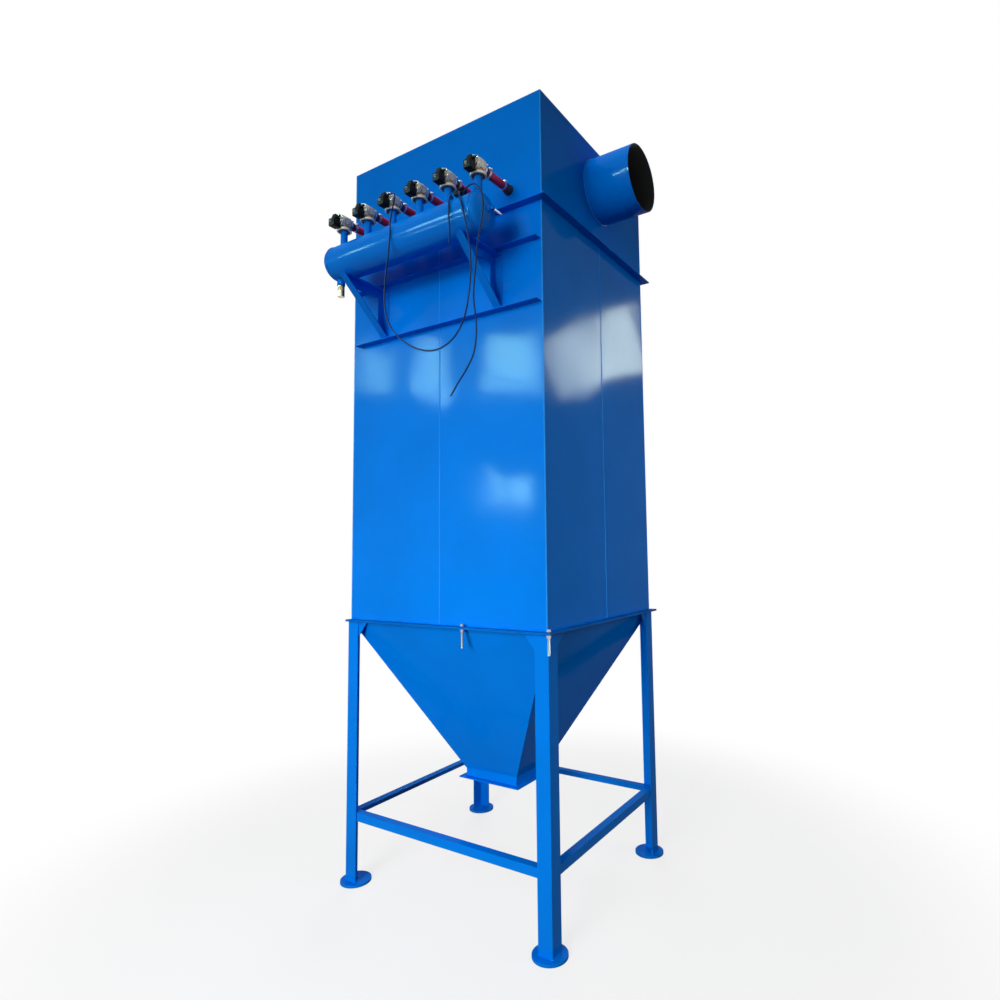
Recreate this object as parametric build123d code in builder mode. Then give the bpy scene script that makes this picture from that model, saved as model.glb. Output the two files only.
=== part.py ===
# Pulse jet dust collector: hopper on four legs, filter casing, clean-air box with a side
# outlet duct, and a compressed-air header tank with six pulse valves along the front.
# Millimetres, +Z up. The origin lies on the floor, at the middle of the four legs.
# The front faces -Y, and the outlet duct leaves towards +X.
import os
from math import atan2, radians, sin, sqrt, tan

from build123d import *

os.makedirs("parts", exist_ok=True)

# Casing
casing_width = 1200
casing_depth = 1040
sheet = 3
casing_base_z = 1290
casing_height = 1876
clean_box_height = 514
roof_plate = 3

# Flanges and ribs round the casing
flange_projection = 32
flange_left_projection = 10
flange_plate = 5
tubesheet_plate = 6
tubesheet_projection = 40
rib_projection = 40
rib_plate = 5
upper_rib_drop = 170
lower_rib_drop = 454
rib_left_gap = 50
rib_right_gap = 10

# Legs, foot plates and braces, all rolled angle
leg_flange = 70
leg_plate = 6
leg_offset = 10
foot_diameter = 150
foot_plate = 12
anchor_hole = 18
brace_flange = 40
brace_plate = 4
brace_top_z = 342

# Hopper
hopper_sheet = 3
hopper_neck_z = 510
outlet_z = 465
outlet_width = 310
outlet_depth = 270
outlet_flange_width = 28
outlet_flange_plate = 6

# Clean-air outlet duct on the right-hand side
duct_diameter = 322
duct_wall = 3
duct_length = 240
duct_y = 30
duct_drop = 214

# Header tank along the front of the casing, and its two brackets
tank_diameter = 168
tank_wall = 5
tank_end_gap = 107.5
tank_crown = 125
tank_knuckle = 30
tank_x = -10
tank_standoff = 220
tank_drop = 114
bracket_inset = 130
bracket_flange = 40
bracket_plate = 4
bracket_overhang = 62

# Drain cock under the left-hand end of the tank
drain_inset = 60
drain_socket_diameter = 38
drain_socket = 26
drain_cock_diameter = 28
drain_length = 82

# Pulse valves, one for each row of filter bags, on risers welded to the tank
valve_count = 6
valve_end_gap = 67.5
valve_rise = 210
riser_diameter = 34
riser_wall = 3
collar_diameter = 72
collar_height = 22
collar_drop = 26
body_diameter = 56
body_length = 50
cover_diameter = 62
cover_length = 12
port_diameter = 42
port_length = 28
coil_drop = 28
coil_size = 38
coil_length = 44
plug_height = 27
plug_length = 30
plug_width = 28

# Blow hoses from the valves to stubs in the clean-air box, and the clip that holds the cables
hose_diameter = 40
stub_diameter = 34
stub_length = 45
clip_valve = 5
clip_setback = 80
clip_width = 60
clip_length = 24
clip_height = 20
clip_drop = 14
cable_diameter = 7
cable_spacing = 17
cable_lead = 38
bend_share = 0.45

# Values worked out from the ones above
half_width = casing_width / 2
half_depth = casing_depth / 2
front_y = -half_depth
hopper_top_z = casing_base_z - flange_plate
leg_top_z = hopper_top_z - flange_plate
tubesheet_z = casing_base_z + casing_height
roof_z = tubesheet_z + clean_box_height
duct_z = roof_z - duct_drop
upper_rib_z = tubesheet_z - upper_rib_drop
lower_rib_z = tubesheet_z - lower_rib_drop
frame_half_x = half_width + leg_offset
frame_half_y = half_depth + leg_offset
neck_half_x = outlet_width / 2 + hopper_sheet
neck_half_y = outlet_depth / 2 + hopper_sheet
tank_y = front_y - tank_standoff
tank_z = tubesheet_z - tank_drop
tank_length = casing_width - 2 * tank_end_gap
tank_radius = tank_diameter / 2
tank_bottom_z = tank_z - tank_radius
tank_end_x = tank_length / 2
bracket_x = tank_end_x - bracket_inset
drain_x = tank_x - tank_end_x + drain_inset
valve_z = tank_z + valve_rise
first_valve_x = valve_end_gap - tank_end_x
valve_pitch = -2 * first_valve_x / (valve_count - 1)
collar_top_z = valve_z - collar_drop
riser_top_z = collar_top_z - collar_height
body_front_y = tank_y - body_length / 2
body_back_y = tank_y + body_length / 2
cover_front_y = body_front_y - cover_length
port_back_y = body_back_y + port_length
coil_z = valve_z - coil_drop
plug_z = coil_z + coil_size / 2
hose_back_y = front_y - stub_length
clip_y = tank_y + clip_setback
clip_base_z = valve_z - hose_diameter / 2 - clip_drop


def angle_section(flange, plate, sign_x, sign_y):
    """Outline of an angle bar whose heel is at the origin; signs give its outer corner."""
    with BuildSketch(mode=Mode.PRIVATE) as section:
        with BuildLine():
            Polyline(
                (0, 0),
                (-sign_x * flange, 0),
                (-sign_x * flange, -sign_y * plate),
                (-sign_x * plate, -sign_y * plate),
                (-sign_x * plate, -sign_y * flange),
                (0, -sign_y * flange),
                close=True,
            )
        make_face()
    return section.sketch


def save(built, label):
    """Label a finished piece and write it to its own file."""
    built.part.label = label
    export_step(built.part, f"parts/{label}.step")


# Legs: angle bars with the heel outwards, each welded to a round foot plate
for label, sign_x, sign_y in (
    ("leg_front_left", -1, -1),
    ("leg_front_right", 1, -1),
    ("leg_back_left", -1, 1),
    ("leg_back_right", 1, 1),
):
    heel_x = sign_x * frame_half_x
    heel_y = sign_y * frame_half_y
    foot_x = heel_x - sign_x * leg_flange / 2
    foot_y = heel_y - sign_y * leg_flange / 2
    with BuildPart() as leg:
        with BuildSketch(Plane.XY.offset(foot_plate)):
            with Locations((heel_x, heel_y)):
                add(angle_section(leg_flange, leg_plate, sign_x, sign_y))
        extrude(amount=leg_top_z - foot_plate)
        with BuildSketch(Plane.XY):
            with Locations((foot_x, foot_y)):
                Circle(foot_diameter / 2)
                Circle(anchor_hole / 2, mode=Mode.SUBTRACT)
        extrude(amount=foot_plate)
    save(leg, label)

# Braces between the legs: angle bars, one flange upright inside the legs, one on top
brace_half_x = frame_half_x - leg_plate
brace_half_y = frame_half_y - leg_plate
for label, sign_y in (("brace_front", -1), ("brace_back", 1)):
    with BuildPart() as brace:
        with BuildSketch(Plane.YZ.offset(-brace_half_x)):
            with Locations((sign_y * brace_half_y, brace_top_z)):
                add(angle_section(brace_flange, brace_plate, sign_y, 1))
        extrude(amount=2 * brace_half_x)
    save(brace, label)

side_brace_half = brace_half_y - brace_flange
for label, sign_x in (("brace_left", -1), ("brace_right", 1)):
    with BuildPart() as brace:
        with BuildSketch(Plane.XZ.offset(-side_brace_half)):
            with Locations((sign_x * brace_half_x, brace_top_z)):
                add(angle_section(brace_flange, brace_plate, sign_x, 1))
        extrude(amount=2 * side_brace_half)
    save(brace, label)

# Hopper: four sloping sheets and a short upright neck
slope_x = atan2(hopper_top_z - hopper_neck_z, half_width - neck_half_x)
slope_y = atan2(hopper_top_z - hopper_neck_z, half_depth - neck_half_y)
inset_x = hopper_sheet / sin(slope_x)
inset_y = hopper_sheet / sin(slope_y)
with BuildPart() as hopper:
    with BuildSketch(Plane.XY.offset(hopper_top_z)):
        Rectangle(casing_width, casing_depth)
    with BuildSketch(Plane.XY.offset(hopper_neck_z)):
        Rectangle(2 * neck_half_x, 2 * neck_half_y)
    loft()
    with BuildSketch(Plane.XY.offset(hopper_neck_z)):
        Rectangle(2 * neck_half_x, 2 * neck_half_y)
    extrude(amount=outlet_z + outlet_flange_plate - hopper_neck_z)
    with BuildSketch(Plane.XY.offset(hopper_top_z)):
        Rectangle(casing_width - 2 * inset_x, casing_depth - 2 * inset_y)
    with BuildSketch(Plane.XY.offset(hopper_neck_z)):
        Rectangle(outlet_width, outlet_depth)
    loft(mode=Mode.SUBTRACT)
    with BuildSketch(Plane.XY.offset(hopper_neck_z)):
        Rectangle(outlet_width, outlet_depth)
    extrude(amount=outlet_z - hopper_neck_z, mode=Mode.SUBTRACT)
save(hopper, "hopper")

outlet_flange_x = 2 * (neck_half_x + outlet_flange_width)
outlet_flange_y = 2 * (neck_half_y + outlet_flange_width)
with BuildPart() as outlet_flange:
    with BuildSketch(Plane.XY.offset(outlet_z)):
        Rectangle(outlet_flange_x, outlet_flange_y)
        Rectangle(outlet_width, outlet_depth, mode=Mode.SUBTRACT)
    extrude(amount=outlet_flange_plate)
save(outlet_flange, "hopper_outlet_flange")

# Bolted joint between the hopper and the casing: two flat rings, narrower on the left
ring_width = casing_width + flange_projection + flange_left_projection
ring_depth = casing_depth + 2 * flange_projection
ring_x = (flange_projection - flange_left_projection) / 2
for label, ring_z in (("hopper_flange", leg_top_z), ("casing_flange", hopper_top_z)):
    with BuildPart() as ring:
        with BuildSketch(Plane.XY.offset(ring_z)):
            with Locations((ring_x, 0)):
                Rectangle(ring_width, ring_depth)
            Rectangle(casing_width, casing_depth, mode=Mode.SUBTRACT)
        extrude(amount=flange_plate)
    save(ring, label)

# Filter casing: four walls
with BuildPart() as casing:
    with BuildSketch(Plane.XY.offset(hopper_top_z)):
        Rectangle(casing_width, casing_depth)
        Rectangle(casing_width - 2 * sheet, casing_depth - 2 * sheet, mode=Mode.SUBTRACT)
    extrude(amount=tubesheet_z - hopper_top_z)
save(casing, "filter_casing")

# Tubesheet plate, which stands out all round as a flange
with BuildPart() as tubesheet:
    with BuildSketch(Plane.XY.offset(tubesheet_z)):
        Rectangle(casing_width + 2 * tubesheet_projection, casing_depth + 2 * tubesheet_projection)
    extrude(amount=tubesheet_plate)
save(tubesheet, "tubesheet")

# Clean-air box: four walls, with the duct's hole in the right-hand one
box_base_z = tubesheet_z + tubesheet_plate
with BuildPart() as clean_box:
    with BuildSketch(Plane.XY.offset(box_base_z)):
        Rectangle(casing_width, casing_depth)
        Rectangle(casing_width - 2 * sheet, casing_depth - 2 * sheet, mode=Mode.SUBTRACT)
    extrude(amount=roof_z - roof_plate - box_base_z)
    with BuildSketch(Plane.YZ.offset(half_width)):
        with Locations((duct_y, duct_z)):
            Circle(duct_diameter / 2 - duct_wall)
    extrude(amount=-sheet, mode=Mode.SUBTRACT)
save(clean_box, "clean_air_box")

with BuildPart() as roof:
    with BuildSketch(Plane.XY.offset(roof_z - roof_plate)):
        Rectangle(casing_width, casing_depth)
    extrude(amount=roof_plate)
save(roof, "roof")

# Stiffening ribs along the front: flat bars on edge against the wall
for label, rib_z in (("front_rib_upper", upper_rib_z), ("front_rib_lower", lower_rib_z)):
    with BuildPart() as rib:
        with BuildSketch(Plane.XY.offset(rib_z - rib_plate)):
            with Locations((half_width - rib_right_gap, front_y)):
                Rectangle(
                    casing_width - rib_left_gap - rib_right_gap,
                    rib_projection,
                    align=(Align.MAX, Align.MAX),
                )
        extrude(amount=rib_plate)
    save(rib, label)

# Outlet duct
with BuildPart() as duct:
    with BuildSketch(Plane.YZ.offset(half_width)):
        with Locations((duct_y, duct_z)):
            Circle(duct_diameter / 2)
            Circle(duct_diameter / 2 - duct_wall, mode=Mode.SUBTRACT)
    extrude(amount=duct_length)
save(duct, "outlet_duct")

tank_plane = Plane(origin=(tank_x, tank_y, tank_z), x_dir=(1, 0, 0), z_dir=(0, -1, 0))
tank_axis = Axis((tank_x, tank_y, tank_z), (1, 0, 0))
tank_place = Location((tank_x, tank_y, tank_z), (0, 90, 0))
valve_places = [(first_valve_x + valve_pitch * number, tank_y) for number in range(valve_count)]


def vessel_solid(radius, crown, knuckle, end_x):
    """A closed round vessel along X: a barrel with a dished end on each side."""
    crown_drop = crown - sqrt(crown**2 - radius**2)
    with BuildPart(mode=Mode.PRIVATE) as vessel:
        with BuildSketch(tank_plane):
            with BuildLine():
                Line((-end_x, 0), (end_x, 0))
                RadiusArc((end_x, 0), (end_x - crown_drop, radius), -crown)
                Line((end_x - crown_drop, radius), (crown_drop - end_x, radius))
                RadiusArc((crown_drop - end_x, radius), (-end_x, 0), -crown)
            make_face()
        revolve(axis=tank_axis)
        fillet(vessel.edges().filter_by(GeomType.CIRCLE), knuckle)
    return vessel.part


# Header tank: a hollow vessel with an open riser for each valve welded into its top
with BuildPart() as tank:
    add(vessel_solid(tank_radius, tank_crown, tank_knuckle, tank_end_x))
    with BuildSketch(Plane.XY.offset(tank_z)):
        with Locations(*valve_places):
            Circle(riser_diameter / 2)
    extrude(amount=riser_top_z - tank_z)
    add(
        vessel_solid(
            tank_radius - tank_wall,
            tank_crown - tank_wall,
            tank_knuckle - tank_wall,
            tank_end_x - tank_wall,
        ),
        mode=Mode.SUBTRACT,
    )
    with BuildSketch(Plane.XY.offset(tank_z)):
        with Locations(*valve_places):
            Circle(riser_diameter / 2 - riser_wall)
    extrude(amount=riser_top_z - tank_z, mode=Mode.SUBTRACT)
save(tank, "header_tank")

# Drain cock: a socket on the underside of the tank and a short nipple
with BuildPart() as drain:
    with BuildSketch(Plane.XY.offset(tank_bottom_z - drain_socket)):
        with Locations((drain_x, tank_y)):
            Circle(drain_socket_diameter / 2)
    extrude(amount=drain_socket + tank_radius / 2)
    with Locations(tank_place):
        Cylinder(tank_radius, tank_length, mode=Mode.SUBTRACT)
    with BuildSketch(Plane.XY.offset(tank_bottom_z - drain_length)):
        with Locations((drain_x, tank_y)):
            Circle(drain_cock_diameter / 2)
    extrude(amount=drain_length - drain_socket)
save(drain, "drain_cock")

# Brackets: triangles of angle bar that stand on the lower rib and carry the tank
bracket_end_y = tank_y - bracket_overhang
for label, centre_x in (("tank_bracket_left", -bracket_x), ("tank_bracket_right", bracket_x)):
    low_x = centre_x - bracket_flange / 2
    with BuildPart() as bracket:
        for border, width in ((bracket_flange, bracket_plate), (bracket_plate, bracket_flange)):
            with BuildSketch(Plane.YZ.offset(low_x)):
                with BuildLine():
                    Polyline(
                        (front_y, lower_rib_z),
                        (front_y, tank_bottom_z),
                        (bracket_end_y, tank_bottom_z),
                        close=True,
                    )
                make_face()
                offset(amount=-border, kind=Kind.INTERSECTION, mode=Mode.SUBTRACT)
            extrude(amount=width)
    save(bracket, label)

# Pulse valves: a collar on the riser, a round body and cover, and a port to the hose
for number, (valve_x, valve_y) in enumerate(valve_places, start=1):
    with BuildPart() as valve:
        with BuildSketch(Plane.XY.offset(riser_top_z)):
            with Locations((valve_x, valve_y)):
                Circle(collar_diameter / 2)
        extrude(amount=collar_height)
        with BuildSketch(Plane.XY.offset(riser_top_z)):
            with Locations((valve_x, valve_y)):
                Circle(riser_diameter / 2)
        extrude(amount=valve_z - riser_top_z)
        with BuildSketch(Plane.XZ.offset(-body_back_y)):
            with Locations((valve_x, valve_z)):
                Circle(body_diameter / 2)
        extrude(amount=body_length)
        with BuildSketch(Plane.XZ.offset(-body_front_y)):
            with Locations((valve_x, valve_z)):
                Circle(cover_diameter / 2)
        extrude(amount=cover_length)
        with BuildSketch(Plane.XZ.offset(-port_back_y)):
            with Locations((valve_x, valve_z)):
                Circle(port_diameter / 2)
        extrude(amount=port_length)
    save(valve, f"pulse_valve_{number}")

    with BuildPart() as coil:
        with BuildSketch(Plane.XZ.offset(-cover_front_y)):
            with Locations((valve_x, coil_z)):
                Rectangle(coil_size, coil_size)
        extrude(amount=coil_length)
        with BuildSketch(Plane.XY.offset(plug_z)):
            with Locations((valve_x, cover_front_y)):
                Rectangle(plug_width, plug_length, align=(Align.CENTER, Align.MAX))
        extrude(amount=plug_height)
    save(coil, f"solenoid_coil_{number}")

    with BuildPart() as hose:
        with BuildSketch(Plane.XZ.offset(-front_y)):
            with Locations((valve_x, valve_z)):
                Circle(stub_diameter / 2)
        extrude(amount=stub_length)
        with BuildSketch(Plane.XZ.offset(-hose_back_y)):
            with Locations((valve_x, valve_z)):
                Circle(hose_diameter / 2)
        extrude(amount=hose_back_y - port_back_y)
    save(hose, f"blow_hose_{number}")

# Cable clip: a saddle under one of the hoses
clip_x = valve_places[clip_valve - 1][0]
with BuildPart() as clip:
    with BuildSketch(Plane.XY.offset(clip_base_z)):
        with Locations((clip_x, clip_y)):
            Rectangle(clip_width, clip_length)
    extrude(amount=clip_height)
    with BuildSketch(Plane.XZ.offset(-clip_y - clip_length / 2)):
        with Locations((clip_x, valve_z)):
            Circle(hose_diameter / 2)
    extrude(amount=clip_length, mode=Mode.SUBTRACT)
save(clip, "cable_clip")


def cable_run(label, points):
    """A round cable: straight runs joined by arcs that touch them, each as wide as its runs allow."""
    corners = [Vector(*point) for point in points]
    runs = [end - start for start, end in zip(corners, corners[1:])]
    radii = []
    for before, after in zip(runs, runs[1:]):
        half_turn = radians(before.get_angle(after)) / 2
        radii.append(bend_share * min(before.length, after.length) / tan(half_turn))
    with BuildPart() as cable:
        with BuildLine() as route:
            FilletPolyline(*points, radius=radii)
        with BuildSketch(Plane(origin=points[0], z_dir=runs[0])):
            Circle(cable_diameter / 2)
        sweep()
    length = sum(edge.length for edge in route.edges())
    print(label, "length", round(length), "radii", [round(radius) for radius in radii])
    save(cable, label)


def from_tank(start_x, offsets):
    """Route points from offsets to the tank's axis, with X counted from the given place."""
    return [(start_x + x, tank_y + y, tank_z + z) for x, y, z in offsets]


def below_clip(offset_x):
    """The two route points of a cable where it comes straight down out of the clip."""
    return [
        (clip_x + offset_x, clip_y, clip_base_z),
        (clip_x + offset_x, clip_y, clip_base_z - cable_lead),
    ]


# First cable: it arches over the end of the tank and hangs down to a bare end
cable_run(
    "cable_tail",
    below_clip(cable_spacing)
    + from_tank(
        clip_x,
        [
            (33, 52, 104),
            (77, 5, 104),
            (131, -34, 111),
            (191, -56, 102),
            (235, -62, 54),
            (249, -64, -12),
            (237, -63, -84),
            (213, -63, -162),
            (209, -63, -244),
            (195, -62, -324),
            (191, -62, -402),
            (203, -60, -480),
            (206, -61, -552),
            (193, -60, -627),
            (150, -61, -690),
            (107, -60, -732),
            (67, -61, -784),
        ],
    ),
)

# Second cable: it hangs in a loop from the third valve's plug and comes back up to the clip
gland_x = valve_places[2][0] + plug_width / 2
gland_y = cover_front_y - plug_length / 2
gland_z = plug_z + plug_height / 2
cable_run(
    "cable_loop",
    [(gland_x, gland_y, gland_z), (gland_x + cable_lead, gland_y, gland_z)]
    + from_tank(
        gland_x,
        [
            (66, -62, 189),
            (69, -79, 128),
            (68, -94, 53),
            (65, -92, -27),
            (55, -93, -112),
            (43, -95, -192),
            (35, -94, -272),
            (37, -94, -347),
            (61, -93, -417),
            (109, -93, -480),
        ],
    )
    + from_tank(
        clip_x,
        [
            (-140, -92, -542),
            (-50, -92, -582),
            (35, -91, -590),
            (110, -91, -560),
            (160, -91, -502),
            (185, -90, -427),
            (197, -89, -347),
            (201, -88, -262),
            (195, -88, -182),
            (183, -90, -107),
            (165, -93, -34),
            (147, -93, 33),
            (117, -64, 86),
            (67, -12, 108),
            (17, 46, 100),
        ],
    )
    + below_clip(0)[::-1],
)

# Third cable: it drops over the front of the tank to a bare end
cable_run(
    "cable_short",
    below_clip(-cable_spacing)
    + from_tank(
        clip_x,
        [
            (-3, 46, 103),
            (35, -6, 104),
            (67, -58, 88),
            (85, -91, 40),
            (89, -96, -30),
            (93, -92, -100),
            (90, -94, -157),
        ],
    ),
)
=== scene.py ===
import math
import random

import bmesh
import bpy
from mathutils import Matrix, Vector


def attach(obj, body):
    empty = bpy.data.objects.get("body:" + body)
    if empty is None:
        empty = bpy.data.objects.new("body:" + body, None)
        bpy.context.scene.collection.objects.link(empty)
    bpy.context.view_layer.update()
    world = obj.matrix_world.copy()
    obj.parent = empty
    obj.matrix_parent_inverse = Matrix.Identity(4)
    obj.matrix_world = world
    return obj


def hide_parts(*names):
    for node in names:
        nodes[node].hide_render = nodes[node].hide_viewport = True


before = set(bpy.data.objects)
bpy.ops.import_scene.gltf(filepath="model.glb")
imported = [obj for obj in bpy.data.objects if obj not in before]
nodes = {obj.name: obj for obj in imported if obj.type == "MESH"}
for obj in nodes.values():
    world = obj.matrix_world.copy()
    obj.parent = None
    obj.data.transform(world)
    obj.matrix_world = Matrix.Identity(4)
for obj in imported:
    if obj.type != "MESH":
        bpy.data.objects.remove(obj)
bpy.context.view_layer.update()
print("frame loaded:", len(nodes), "nodes")


# Colours and shader nodes

def linear(hexText):
    channels = []
    for start in (0, 2, 4):
        value = int(hexText[start:start + 2], 16) / 255
        channels.append(value / 12.92 if value <= 0.04045 else ((value + 0.055) / 1.055) ** 2.4)
    return (*channels, 1.0)


def addNode(tree, kind, inputs=None, **settings):
    node = tree.nodes.new("ShaderNode" + kind)
    for name, value in settings.items():
        setattr(node, name, value)
    for socket, value in (inputs or {}).items():
        if isinstance(value, bpy.types.NodeSocket):
            tree.links.new(value, node.inputs[socket])
        else:
            node.inputs[socket].default_value = value
    return node


def perMetre(millimetres):
    return 1000.0 / millimetres  # a texture scale that gives features of this size


def newMaterial(name):
    material = bpy.data.materials.new(name)
    material.use_nodes = True
    tree = material.node_tree
    tree.nodes.clear()
    shader = addNode(tree, "BsdfPrincipled")
    addNode(tree, "OutputMaterial", {"Surface": shader.outputs["BSDF"]})
    place = addNode(tree, "TexCoord").outputs["Object"]
    return material, tree, shader, place


def fill(shader, **values):
    for socket, value in values.items():
        shader.inputs[socket.replace("_", " ")].default_value = value


def link(tree, source, shader, socket):
    tree.links.new(source, shader.inputs[socket])


# Gloss enamel, sprayed on sheet steel: even saturated blue, soft mirror-like patches that
# wander because thin sheet is never flat, and a faint orange-peel texture close up.
enamel = {
    "colour": "007EEA",
    "shade": "0078DF",
    "flange": ("006CC8", "0064BC"),   # painted shade: darker paint on the flanges stands in for the shade along their edges
    "seam": ("2A9AF4", "1E8CEC"),     # painted highlight: lighter paint on the welds stands in for the light their beads catch
    "roughness": 0.45,
    "roughPatches": 0.10,
    "specular": 0.0,        # the clear top below does the shining
    "gloss": 0.11,          # the clear top of the paint, weaker than new because of dust and wipe marks
    "barGloss": 0.08,       # angle bar, brushed over after it was welded
    "dryGloss": 0.05,       # the box above the tubesheet and the hopper show no reflections
    "glossRoughness": 0.12,
    "patchSize": 420,       # mm, clouds of slightly different tone
    "dustSize": 140,        # mm, patches that wiping has left duller
    "peelSize": 9,          # mm, the real 2 mm orange peel drawn coarser so that it shows
    "peelStrength": 0.05,
    "peelDepth": 0.0015,
    "waveSize": 460,        # mm, the buckling of the sheets between their welds
    "waveDepth": 0.008,
}


def sprayedEnamel(name, gloss, waveDepth=0.0, colours=(enamel["colour"], enamel["shade"])):
    spec = enamel
    material, tree, shader, place = newMaterial(name)
    clouds = addNode(tree, "TexNoise", {"Vector": place, "Scale": perMetre(spec["patchSize"]),
                                        "Detail": 3.0, "Roughness": 0.55})
    amount = addNode(tree, "MapRange", {"Value": clouds.outputs["Fac"], "From Min": 0.35, "From Max": 0.65,
                                        "To Min": 0.0, "To Max": 1.0})
    tone = addNode(tree, "Mix", {"Factor": amount.outputs["Result"]}, data_type="RGBA")
    tone.inputs["A"].default_value = linear(colours[1])
    tone.inputs["B"].default_value = linear(colours[0])
    link(tree, tone.outputs["Result"], shader, "Base Color")
    dust = addNode(tree, "TexNoise", {"Vector": place, "Scale": perMetre(spec["dustSize"]), "Detail": 5.0})
    dull = addNode(tree, "MapRange", {"Value": dust.outputs["Fac"], "From Min": 0.3, "From Max": 0.7,
                                      "To Min": spec["roughness"],
                                      "To Max": spec["roughness"] + spec["roughPatches"]})
    link(tree, dull.outputs["Result"], shader, "Roughness")
    peel = addNode(tree, "TexNoise", {"Vector": place, "Scale": perMetre(spec["peelSize"]), "Detail": 1.0})
    surface = addNode(tree, "Bump", {"Height": peel.outputs["Fac"], "Strength": spec["peelStrength"],
                                     "Distance": spec["peelDepth"]})
    if waveDepth > 0:
        waves = addNode(tree, "TexNoise", {"Vector": place, "Scale": perMetre(spec["waveSize"]),
                                           "Detail": 1.4})
        surface = addNode(tree, "Bump", {"Height": waves.outputs["Fac"], "Strength": 1.0,
                                         "Distance": waveDepth, "Normal": surface.outputs["Normal"]})
    link(tree, surface.outputs["Normal"], shader, "Normal")
    link(tree, surface.outputs["Normal"], shader, "Coat Normal")
    fill(shader, Specular_IOR_Level=spec["specular"], IOR=1.5, Coat_Weight=gloss,
         Coat_Roughness=spec["glossRoughness"], Coat_IOR=1.5)
    return material


# Aluminium and gunmetal, cast and blasted: matt, with a fine sandy grain
def castMetal(name, light, dark):
    material, tree, shader, place = newMaterial(name)
    grain = addNode(tree, "TexNoise", {"Vector": place, "Scale": perMetre(3), "Detail": 4.0})
    tone = addNode(tree, "ValToRGB", {"Fac": grain.outputs["Fac"]})
    tone.color_ramp.elements[0].color = linear(dark)
    tone.color_ramp.elements[1].color = linear(light)
    link(tree, tone.outputs["Color"], shader, "Base Color")
    skin = addNode(tree, "Bump", {"Height": grain.outputs["Fac"], "Strength": 0.25, "Distance": 0.0006})
    link(tree, skin.outputs["Normal"], shader, "Normal")
    fill(shader, Metallic=0.5, Roughness=0.5)
    return material


# Zinc-plated steel, rolled and turned: bright bluish silver, clouded where it has dulled
def zincPlate():
    material, tree, shader, place = newMaterial("zinc-plated steel")
    spangle = addNode(tree, "TexNoise", {"Vector": place, "Scale": perMetre(4), "Detail": 3.0})
    tone = addNode(tree, "ValToRGB", {"Fac": spangle.outputs["Fac"]})
    tone.color_ramp.elements[0].color = linear("A2A8B0")
    tone.color_ramp.elements[1].color = linear("D6DAE0")
    link(tree, tone.outputs["Color"], shader, "Base Color")
    rough = addNode(tree, "MapRange", {"Value": spangle.outputs["Fac"], "To Min": 0.22, "To Max": 0.4})
    link(tree, rough.outputs["Result"], shader, "Roughness")
    fill(shader, Metallic=1.0)
    return material


# Brass, turned: warm yellow metal, with tool rings across the axis and some tarnish
def turnedBrass():
    material, tree, shader, place = newMaterial("brass, turned")
    tarnish = addNode(tree, "TexNoise", {"Vector": place, "Scale": perMetre(12), "Detail": 4.0})
    tone = addNode(tree, "ValToRGB", {"Fac": tarnish.outputs["Fac"]})
    tone.color_ramp.elements[0].color = linear("A89A72")
    tone.color_ramp.elements[1].color = linear("E6DDBC")
    link(tree, tone.outputs["Color"], shader, "Base Color")
    rings = addNode(tree, "TexWave", {"Vector": place, "Scale": perMetre(6)}, bands_direction="Z")
    cut = addNode(tree, "Bump", {"Height": rings.outputs["Fac"], "Strength": 0.12, "Distance": 0.0003})
    link(tree, cut.outputs["Normal"], shader, "Normal")
    fill(shader, Metallic=1.0, Roughness=0.33)
    return material


# Plastics, rubber, fibre, and a black lining as painted shade: plain colour, a soft sheen and a fine grain
def polymer(name, colour, shade, roughness, grainSize, grainDepth, specular=0.4):
    material, tree, shader, place = newMaterial(name)
    grain = addNode(tree, "TexNoise", {"Vector": place, "Scale": perMetre(grainSize), "Detail": 3.0})
    tone = addNode(tree, "Mix", {"Factor": grain.outputs["Fac"]}, data_type="RGBA")
    tone.inputs["A"].default_value = linear(shade)
    tone.inputs["B"].default_value = linear(colour)
    link(tree, tone.outputs["Result"], shader, "Base Color")
    skin = addNode(tree, "Bump", {"Height": grain.outputs["Fac"], "Strength": 0.2, "Distance": grainDepth})
    link(tree, skin.outputs["Normal"], shader, "Normal")
    fill(shader, Roughness=roughness, IOR=1.5, Specular_IOR_Level=specular)
    return material


panelEnamel = sprayedEnamel("blue enamel, sprayed on sheet steel", enamel["gloss"], enamel["waveDepth"])
boxEnamel = sprayedEnamel("blue enamel, dry overspray on sheet steel", enamel["dryGloss"],
                          enamel["waveDepth"])
tubeEnamel = sprayedEnamel("blue enamel, sprayed on rolled tube", enamel["gloss"])
frameEnamel = sprayedEnamel("blue enamel, sprayed on angle bar", enamel["barGloss"])
# Painted shade: a darker copy of the enamel for the flanges, for the dark band of shade along them
shadedFlangeEnamel = sprayedEnamel("blue enamel, darkened for painted shade on flanges", enamel["gloss"],
                             colours=enamel["flange"])
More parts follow.
